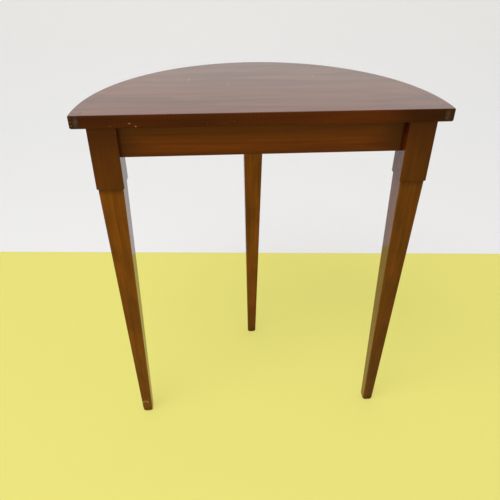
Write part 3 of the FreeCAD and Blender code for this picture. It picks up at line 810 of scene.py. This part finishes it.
class TABLE_OT_legs(bpy.types.Operator):
    """Lacquers the three legs, wears their feet round and chips the left one"""
    bl_idname = "table.legs"
    bl_label = "Finish the legs"

    def execute(self, context):
        settings = context.scene.table_finish
        wear = context.scene.table_wear
        for seed, (name, node) in enumerate(LEGS.items(), start=SEEDS["legs"]):
            middle = sum(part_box(node), Vector()) / 2.0
            surface = self.surface(name, middle, settings, wear, seed)
            leg = new_piece(name, copied_shape(node), [surface], node)
            carved(leg, self.foot_mould(middle, wear.foot_round), "INTERSECT")
            if name == "left_leg":
                dented(leg, [self.foot_chip(middle)], bare_wood("chipped_foot", settings.bare_wood))
        return {"FINISHED"}

    def foot_mould(self, middle, radius):
        """A tall shape that opens upwards from a foot with worn corners. The leg is trimmed to it."""
        shape = bmesh.new()
        bmesh.ops.create_cube(shape, size=2.0)
        for height, half in MOULD_ENDS:
            end = [point for point in shape.verts if (point.co.z > 0.0) == (height > 0.0)]
            bmesh.ops.scale(shape, vec=(half, half, 1.0), verts=end)
            bmesh.ops.translate(shape, vec=(middle.x, middle.y, height - end[0].co.z), verts=end)
        lower = [edge for edge in shape.edges if min(point.co.z for point in edge.verts) < 0.0]
        bmesh.ops.bevel(shape, geom=lower, offset=radius, offset_type="OFFSET", affect="EDGES",
                        segments=ROUND_CUTS, profile=0.5, material=-1)
        return shape

    def foot_chip(self, middle):
        place, widths = (Vector(sizes) * MILLIMETRE for sizes in FOOT_CHIP)
        return Vector((middle.x, middle.y, 0.0)) + place, widths

    def surface(self, name, middle, settings, wear, seed):
        wood = Wood("lacquered_" + name, seed, "Z")
        pores = wood.pores()
        colour = wood.stained(settings.leg_dark, settings.leg_light, pores)
        # The tone holds painted light and shade from the foot to the step.
        colour = wood.dim(colour, self.tone(wood, name, wear))
        # Painted shade below the top, on the leg's block.
        colour = wood.mix(self.shade_below_top(wood, BLOCK_SHADE[name], wear), colour, opaque(settings.painted_shade))
        # The corners are lighter: partly rubbed finish, partly a painted highlight along them.
        rubbed = wood.mix(RUBBED_AND_HIGHLIGHT, colour, opaque(settings.leg_light))
        colour = wood.mix(self.corners(wood, middle, wear), colour, rubbed)
        if name == "left_leg":
            colour = wood.mix(self.scuff(wood, middle), colour, opaque(settings.bare_wood))
        colour = wood.mix(wood.facing("-Z"), colour, opaque(settings.underside))
        return wood.lacquered(colour, pores, settings, 0.0, settings.frame_ior)

    def tone(self, wood, name, wear):
        """How light the stain is: cloudy, with painted light and shade from the foot to the step, and soiled
        at the tip.
        """
        z = wood.split(wood.place)[2]
        clouds = wood.patches(wood.place, CLOUDS, least=0.83, most=1.17)
        lit_slope = wood.spread(z, 0.0, LEG_STEP, *LEG_LIGHTING[name])
        tip = wood.spread(z, TIP_SHARE * wear.tip, wear.tip, TIP_TONE, 1.0)
        return wood.product(clouds, lit_slope, tip)

    def shade_below_top(self, wood, block, wear):
        """How much painted shade lies on the leg: most below the top, less down the block and none below its
        step.
        """
        z = wood.split(wood.place)[2]
        under_top = wood.spread(z, UNDERSIDE - wear.shade_reach, UNDERSIDE, block, UNDER_TOP_SHADE, "LINEAR")
        return wood.product(under_top, wood.spread(z, LEG_STEP - BLOCK_FADE, LEG_STEP))

    def scuff(self, wood, middle):
        """1 along the bow of the scuff on the front of the left foot."""
        offset, height, radius = (size * MILLIMETRE for size in SCUFF)
        x, y, z = wood.split(wood.place)
        across = wood.math("SUBTRACT", x, middle.x + offset)
        up = wood.math("SUBTRACT", z, height)
        reach = wood.math("SQRT", wood.math("MULTIPLY_ADD", across, across, wood.product(up, up)))
        wander = wood.noise(wood.place, SCUFF_WANDER)
        bow = wood.total((reach, 1.0), (wander, BOW_WANDER))
        off = wood.math("ABSOLUTE", wood.math("SUBTRACT", bow, radius + BOW_WANDER / 2.0))
        line = wood.spread(off, *BOW_LINE)
        upper = wood.spread(up, 0.0, BOW_LINE[0])
        ragged = wood.spread(wood.noise(wood.place, SPECKLE), *RAGGED_RANGE)
        return wood.product(line, upper, ragged, wood.facing("-Y"))

    def corners(self, wood, middle, wear):
        """1 along the long corners below the step, where the leg tapers to the foot: rubbed finish and a
        painted highlight.
        """
        x, y, z = wood.split(wood.place)
        taper = wood.spread(z, 0.0, LEG_STEP, FOOT_HALF, SHAFT_HALF, "LINEAR")
        across = wood.math("ABSOLUTE", wood.math("SUBTRACT", x, middle.x))
        along = wood.math("ABSOLUTE", wood.math("SUBTRACT", y, middle.y))
        nearest = wood.math("SUBTRACT", wood.math("MINIMUM", across, along), taper)
        patchy = wood.spread(wood.noise(wood.place, RUBBED_PATCHES), *RUBBED_RANGE)
        below = wood.math("LESS_THAN", z, LEG_STEP)
        return wood.product(wood.spread(nearest, -2.0 * wear.arris, -wear.arris), patchy, below)


class TABLE_OT_rails(bpy.types.Operator):
    """Lacquers the straight rail and the curved aprons"""
    bl_idname = "table.rails"
    bl_label = "Finish the rails"

    def execute(self, context):
        settings = context.scene.table_finish
        straight = Wood("lacquered_rear_rail", SEEDS["rail"], "X")
        coat_node("rear_rail", self.surface(straight, settings, self.straight_shade))
        for seed, name in enumerate(APRONS, start=SEEDS["aprons"]):
            shape = copied_shape(name)
            shade_smooth(shape)
            surface = self.surface(Wood("lacquered_" + name, seed), settings, self.bent_shade)
            new_piece(name.replace("curved", "bent"), shape, [surface], name)
        return {"FINISHED"}

    def surface(self, wood, settings, shade_mask):
        pores = wood.pores()
        colour = wood.stained(settings.rail_dark, settings.rail_light, pores)
        # Painted shade, where the given mask puts it.
        colour = wood.mix(shade_mask(wood), colour, opaque(settings.painted_shade))
        return wood.lacquered(colour, pores, settings, 0.0, settings.frame_ior)

    def straight_shade(self, wood):
        """How much painted shade lies on the straight rail: at its upper and lower sides and by the legs."""
        x, y, z = wood.split(wood.place)
        lightest, darkest = (RAIL_LOW + height for height in RAIL_BAND)
        high = wood.spread(z, lightest, darkest, 0.0, HIGH_SHADE)
        low = wood.spread(z, lightest, RAIL_LOW, 0.0, LOW_SHADE)
        shade_mask = wood.math("MAXIMUM", high, low)
        for side, reach, most in RAIL_END_SHADE:
            end = wood.spread(wood.math("MULTIPLY", x, side), RAIL_END - reach, RAIL_END, 0.0, most)
            shade_mask = wood.math("MAXIMUM", shade_mask, end)
        return shade_mask

    def bent_shade(self, wood):
        """How much painted shade lies on an apron: below the top."""
        z = wood.split(wood.place)[2]
        return wood.spread(z, RAIL_LOW + APRON_BAND, RAIL_HIGH, 0.0, APRON_SHADE)


class TABLE_OT_blocks(bpy.types.Operator):
    """Gives the blocks and dowels their bare wood"""
    bl_idname = "table.blocks"
    bl_label = "Finish the blocks and dowels"

    def execute(self, context):
        settings = context.scene.table_finish
        spacing = context.scene.table_wear.saw_marks
        for seed, name in enumerate(BLOCKS + DOWELS, start=SEEDS["blocks"]):
            wood = Wood("bare_" + name, seed, "X")
            light = Vector(settings.dowel_wood if name in DOWELS else settings.block_wood)
            colour = wood.stained(light * RAW_DARK, light, wood.pores())
            x, y, z = wood.split(wood.place)
            wander = wood.noise(wood.place, SAW_WANDER)
            turns = wood.total((x, 2.0 * math.pi / spacing), (wander, SAW_SWAY))
            marks = wood.math("SINE", turns)
            colour = wood.dim(colour, wood.math("MULTIPLY_ADD", marks, SAW_SHADE, 1.0 - SAW_SHADE))
            normal = wood.bump(marks, SAW_DEPTH)
            coat_node(name, wood.finish(
                Base_Color=colour, Roughness=0.75, Specular_IOR_Level=0.2, Normal=normal))
        return {"FINISHED"}


class TABLE_OT_screws(bpy.types.Operator):
    """Makes the screws, with pan heads and cross recesses"""
    bl_idname = "table.screws"
    bl_label = "Make the screws"

    def execute(self, context):
        sizes = context.scene.table_screws
        steel = self.steel(context.scene.table_finish)
        sets = (
            ("top_screw_set", "top_screws", TOP_SCREW_SEATS, sizes.top_length),
            ("leg_screw_set", "leg_screws", LEG_SCREW_SEATS, sizes.leg_length),
        )
        for name, node, seats, length in sets:
            shape = bmesh.new()
            for seat, direction in seats:
                turn = direction.to_track_quat("Z", "Y").to_matrix().to_4x4()
                self.screw(shape, sizes, length, Matrix.Translation(seat) @ turn)
            shade_smooth(shape)
            new_piece(name, shape, [steel], node)
        return {"FINISHED"}

    def steel(self, settings):
        recipe = new_recipe("plated_steel")
        place = recipe.add("TexCoord").outputs["Object"]
        tarnish = recipe.patches(place, SPECKLE, least=0.8, most=1.0)
        colour = recipe.dim(opaque(settings.screw_steel), tarnish)
        rough = recipe.patches(place, SPECKLE, least=0.28, most=0.45)
        return recipe.finish(Base_Color=colour, Metallic=1.0, Roughness=rough)

    def screw(self, shape, sizes, length, matrix):
        """Adds one screw. Its seat is at the origin and it goes in along +Z before the matrix places it."""
        head, height, shank = sizes.head_width / 2.0, sizes.head_height, sizes.shank_width / 2.0
        outline = [(out * head, -up * height) for out, up in HEAD_OUTLINE]
        outline += [(shank, 0.0), (shank, length - sizes.point), (0.0, length)]
        one = bmesh.new()
        points = [one.verts.new((radius, 0.0, z)) for radius, z in outline]
        edges = [one.edges.new(pair) for pair in zip(points, points[1:])]
        bmesh.ops.spin(one, geom=points + edges, cent=(0.0, 0.0, 0.0), axis=(0.0, 0.0, 1.0),
                       angle=2.0 * math.pi, steps=SPIN_STEPS, use_merge=True)
        bmesh.ops.remove_doubles(one, verts=one.verts, dist=FINE_MERGE)
        bmesh.ops.recalc_face_normals(one, faces=one.faces)
        self.recess(one, sizes)
        bmesh.ops.transform(one, matrix=matrix, verts=one.verts)
        mesh = bpy.data.meshes.new("screw")
        one.to_mesh(mesh)
        one.free()
        shape.from_mesh(mesh)
        bpy.data.meshes.remove(mesh)

    def recess(self, one, sizes):
        """Sinks a cross into the head's crown."""
        half, reach = sizes.recess_width / 2.0, sizes.recess_reach / 2.0
        shoulder = -CROWN_SHARE * sizes.head_height
        for axis in (Vector((1.0, 0.0, 0.0)), Vector((0.0, 1.0, 0.0))):
            for offset in (-reach, -half, half, reach):
                crown = [face for face in one.faces if face.calc_center_median().z < shoulder]
                around = {part for face in crown for part in (*face.verts, *face.edges)}
                bmesh.ops.bisect_plane(one, geom=crown + list(around), dist=FINE_MERGE,
                                       plane_co=axis * offset, plane_no=axis)
        cross = [
            face for face in one.faces
            if self.in_cross(face.calc_center_median(), half, reach, shoulder)
        ]
        bmesh.ops.inset_region(one, faces=cross, thickness=RECESS_TAPER * sizes.recess_width,
                               depth=-sizes.recess_depth, use_even_offset=True)

    def in_cross(self, centre, half, reach, shoulder):
        near, far = sorted((abs(centre.x), abs(centre.y)))
        return near < half and far < reach and centre.z < shoulder


class TABLE_OT_stage(bpy.types.Operator):
    """Sets the floor, the white sweep, the lights and the camera"""
    bl_idname = "table.stage"
    bl_label = "Set the stage"

    def execute(self, context):
        scene = context.scene
        settings = scene.table_stage
        scene.view_settings.view_transform = "Standard"
        self.floor(settings)
        self.sweep(settings)
        self.camera(scene, settings)
        self.lights(scene, settings)
        return {"FINISHED"}

    def paint(self, name, colour, settings):
        """A dull paint that shows only a faint shadow, and lights the table as plain paint would."""
        recipe = new_recipe(name)
        seen = recipe.seen()
        shaded = recipe.mix(seen, opaque(colour), opaque(Vector(colour) * settings.shade))
        glow = recipe.product(seen, settings.glow)
        return recipe.finish(Base_Color=shaded, Roughness=0.9, Specular_IOR_Level=0.0,
                             Emission_Color=opaque(colour), Emission_Strength=glow)

    def floor(self, settings):
        shape = bmesh.new()
        bmesh.ops.create_grid(shape, x_segments=1, y_segments=1, size=settings.stage_reach)
        object_of("floor", shape, [self.paint("pale_floor", settings.floor_colour, settings)])

    def sweep(self, settings):
        """White paper that lies on the floor behind the table, turns up and hangs."""
        half_width, bend = settings.stage_reach, settings.sweep_bend
        turn = settings.sweep_start + settings.sweep_depth
        shape = bmesh.new()
        first = shape.verts.new((-half_width, settings.sweep_start, SWEEP_LIFT))
        corner = shape.verts.new((-half_width, turn, SWEEP_LIFT))
        shape.edges.new((first, corner))
        arc = bmesh.ops.spin(shape, geom=[corner], cent=(-half_width, turn, SWEEP_LIFT + bend),
                             axis=(1.0, 0.0, 0.0), angle=math.pi / 2.0, steps=SPIN_STEPS)
        end = [part for part in arc["geom_last"] if isinstance(part, bmesh.types.BMVert)][0]
        last = shape.verts.new((-half_width, turn + bend, SWEEP_LIFT + settings.sweep_height))
        shape.edges.new((end, last))
        strip = bmesh.ops.extrude_edge_only(shape, edges=shape.edges)
        moved = [part for part in strip["geom"] if isinstance(part, bmesh.types.BMVert)]
        bmesh.ops.translate(shape, vec=(2.0 * half_width, 0.0, 0.0), verts=moved)
        bmesh.ops.rotate(shape, cent=(0.0, 0.0, 0.0), verts=shape.verts,
                         matrix=Matrix.Rotation(-settings.camera_turn[1], 3, "Z"))
        for face in shape.faces:
            face.smooth = True
        object_of("sweep", shape, [self.paint("white_sweep", settings.sweep_colour, settings)])

    def camera(self, scene, settings):
        """Stands the camera where the settings say, pitched, yawed and then rolled."""
        pitch, yaw, roll = settings.camera_turn
        forward = Vector((math.sin(yaw) * math.cos(pitch), math.cos(yaw) * math.cos(pitch), -math.sin(pitch)))
        level = Vector((math.cos(yaw), -math.sin(yaw), 0.0))
        down = forward.cross(level)
        right = level * math.cos(roll) + down * math.sin(roll)
        up = level * math.sin(roll) - down * math.cos(roll)
        data = bpy.data.cameras.new("camera")
        data.lens = settings.camera_lens
        data.sensor_width = SENSOR_WIDTH
        data.clip_start = 0.05
        camera = bpy.data.objects.new("camera", data)
        turn = Matrix((right, up, -forward)).transposed().to_4x4()
        camera.matrix_world = Matrix.Translation(settings.camera_place) @ turn
        scene.collection.objects.link(camera)
        scene.camera = camera

    def lights(self, scene, settings):
        """The room's light, the plain backdrop that is seen in its place, and a softbox above the table."""
        room = Recipe(bpy.data.worlds.new("room"))
        height = room.split(room.add("TexCoord").outputs["Generated"])[2]
        strength = room.spread(height, 0.0, FULL_LIGHT, LOW_LIGHT * settings.room_light, settings.room_light)
        light = room.add("Background", {"Strength": strength})
        shown = room.add("Background", {"Strength": settings.backdrop_light})
        both = room.add("MixShader", {0: room.seen(), 1: light.outputs[0], 2: shown.outputs[0]})
        room.add("OutputWorld", {"Surface": both.outputs[0]})
        scene.world = room.owner

        data = bpy.data.lights.new("ceiling_softbox", "AREA")
        data.shape = "RECTANGLE"
        data.size, data.size_y = settings.softbox_size
        data.energy = settings.softbox_power
        lamp = bpy.data.objects.new("ceiling_softbox", data)
        lamp.location = settings.softbox_place
        direction = Vector(settings.softbox_target) - Vector(settings.softbox_place)
        lamp.rotation_euler = direction.to_track_quat("-Z", "Y").to_euler()
        scene.collection.objects.link(lamp)


class TABLE_PT_panel(bpy.types.Panel):
    """Lists the table's steps in the sidebar"""
    bl_label = "Half-round table"
    bl_idname = "TABLE_PT_panel"
    bl_space_type = "VIEW_3D"
    bl_region_type = "UI"
    bl_category = "Table"

    def draw(self, context):
        for step in STEPS:
            self.layout.operator(step.bl_idname)
        for name in GROUPS:
            group = getattr(context.scene, name)
            for setting in group.__annotations__:
                self.layout.prop(group, setting)


GROUPS = {
    "table_finish": TableFinish,
    "table_wear": TableWear,
    "table_screws": TableScrews,
    "table_stage": TableStage,
}
STEPS = (TABLE_OT_top, TABLE_OT_legs, TABLE_OT_rails, TABLE_OT_blocks, TABLE_OT_screws, TABLE_OT_stage)
CLASSES = (*GROUPS.values(), *STEPS, TABLE_PT_panel)


def register():
    for item in CLASSES:
        bpy.utils.register_class(item)
    for name, group in GROUPS.items():
        setattr(bpy.types.Scene, name, bpy.props.PointerProperty(type=group))


def unregister():
    for name in GROUPS:
        delattr(bpy.types.Scene, name)
    for item in reversed(CLASSES):
        bpy.utils.unregister_class(item)


def main():
    register()
    bpy.ops.table.top()
    bpy.ops.table.legs()
    bpy.ops.table.rails()
    bpy.ops.table.blocks()
    bpy.ops.table.screws()
    bpy.ops.table.stage()


if __name__ == "__main__":
    main()
